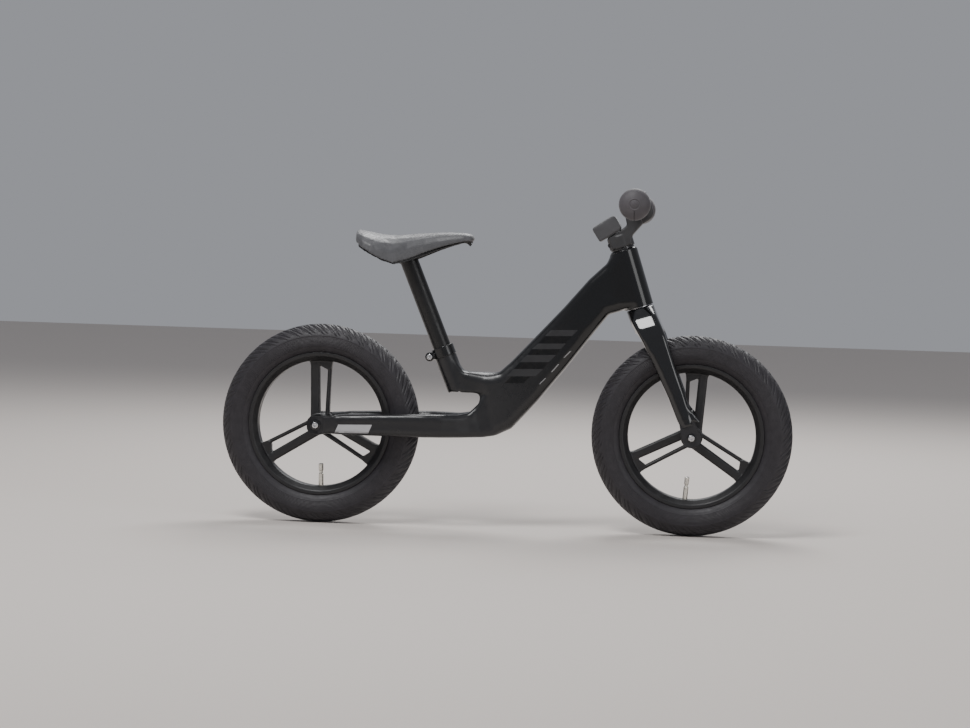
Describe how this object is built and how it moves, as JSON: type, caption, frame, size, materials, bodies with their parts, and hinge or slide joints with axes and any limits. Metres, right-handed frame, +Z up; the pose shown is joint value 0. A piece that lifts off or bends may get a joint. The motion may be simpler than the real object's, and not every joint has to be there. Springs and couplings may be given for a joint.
{
  "type": "balance bike",
  "caption": "Child's balance bike: deep one-piece frame, fork, three-armed cast wheels with air tyres, height-adjustable saddle on a post, and straight handlebar with safety grips.",
  "frame": {"origin": "on the ground, on the mid-plane, half-way between the contact points of the two tyres", "axes": "+X forward along the bike, +Y to the rider's left, +Z up"},
  "size_m": [0.865, 0.388, 0.5158],
  "materials": {
    "frame_composite": "satin charcoal lacquer over moulded composite",
    "fork_composite": "gloss black lacquer over moulded composite",
    "dropout_alloy": "black anodised, satin",
    "black_alloy": "black anodised, semi-gloss",
    "bright_steel": "zinc-plated, bright",
    "black_steel": "black oxide, satin",
    "bearing_steel": "ground steel",
    "bare_alloy": "machined",
    "stem_alloy": "dark grey, fine satin texture",
    "bar_alloy": "black anodised, satin",
    "grip_rubber": "dark grey moulded rubber, matt",
    "pad_foam": "grey soft-touch skin over foam, matt",
    "wheel_cast": "black, moulded composite, satin",
    "tyre_rubber": "black rubber, matt, treaded",
    "tube_rubber": "black butyl",
    "valve_metal": "nickel-plated brass, bright",
    "post_alloy": "black, satin",
    "saddle_skin": "grey fine-grained synthetic leather over foam",
    "saddle_plastic": "black, moulded"
  },
  "bodies": {
    "frame": {"frame": "frame_composite", "rear_dropout_left": "dropout_alloy", "rear_dropout_right": "dropout_alloy", "headset_bearing_lower": "bearing_steel", "headset_bearing_upper": "bearing_steel", "seat_collar": "black_alloy", "seat_collar_bolt": "bright_steel", "seat_collar_nut": "bright_steel", "rear_axle": "bare_alloy", "rear_spacer_left": "black_alloy", "rear_spacer_right": "black_alloy", "rear_washer_left": "black_alloy", "rear_washer_right": "black_alloy", "rear_axle_bolt_left": "bright_steel", "rear_axle_bolt_right": "bright_steel"},
    "steering": {"fork": "fork_composite", "steerer": "bare_alloy", "crown_race": "bearing_steel", "headset_cover": "black_alloy", "stem_spacer": "black_alloy", "front_dropout_left": "dropout_alloy", "front_dropout_right": "dropout_alloy", "stem": "stem_alloy", "stem_faceplate": "stem_alloy", "stem_bolt_upper": "black_steel", "stem_bolt_lower": "black_steel", "stem_pinch_bolt": "black_steel", "stem_pad": "pad_foam", "top_cap": "black_alloy", "top_cap_bolt": "black_steel", "star_nut": "bearing_steel", "handlebar": "bar_alloy", "grip_left": "grip_rubber", "grip_right": "grip_rubber", "front_axle": "bare_alloy", "front_spacer_left": "black_alloy", "front_spacer_right": "black_alloy", "front_washer_left": "black_alloy", "front_washer_right": "black_alloy", "front_axle_bolt_left": "bright_steel", "front_axle_bolt_right": "bright_steel"},
    "front_wheel": {"front_wheel": "wheel_cast", "front_tyre": "tyre_rubber", "front_inner_tube": "tube_rubber", "front_valve": "valve_metal", "front_bearing_left": "bearing_steel", "front_bearing_right": "bearing_steel"},
    "rear_wheel": {"rear_wheel": "wheel_cast", "rear_tyre": "tyre_rubber", "rear_inner_tube": "tube_rubber", "rear_valve": "valve_metal", "rear_bearing_left": "bearing_steel", "rear_bearing_right": "bearing_steel"},
    "seat": {"seatpost": "post_alloy", "saddle_cover": "saddle_skin", "saddle_shell": "saddle_plastic", "saddle_screw_rear": "bright_steel", "saddle_screw_front": "bright_steel"}
  },
  "joints": [
    {"name": "steering_turn", "type": "hinge", "parent": "frame", "child": "steering", "pos_m": [0.19725, 0, 0.34233], "axis": [-0.309, 0, 0.9511], "continuous": true},
    {"name": "front_wheel_spin", "type": "hinge", "parent": "steering", "child": "front_wheel", "pos_m": [0.2815, 0, 0.151], "axis": [0, 1, 0], "continuous": true},
    {"name": "rear_wheel_spin", "type": "hinge", "parent": "frame", "child": "rear_wheel", "pos_m": [-0.2815, 0, 0.151], "axis": [0, 1, 0], "continuous": true},
    {"name": "seat_height", "type": "slide", "parent": "frame", "child": "seat", "axis": [-0.3859, 0, 0.9225], "range_m": [-0.03, 0.015]}
  ]
}
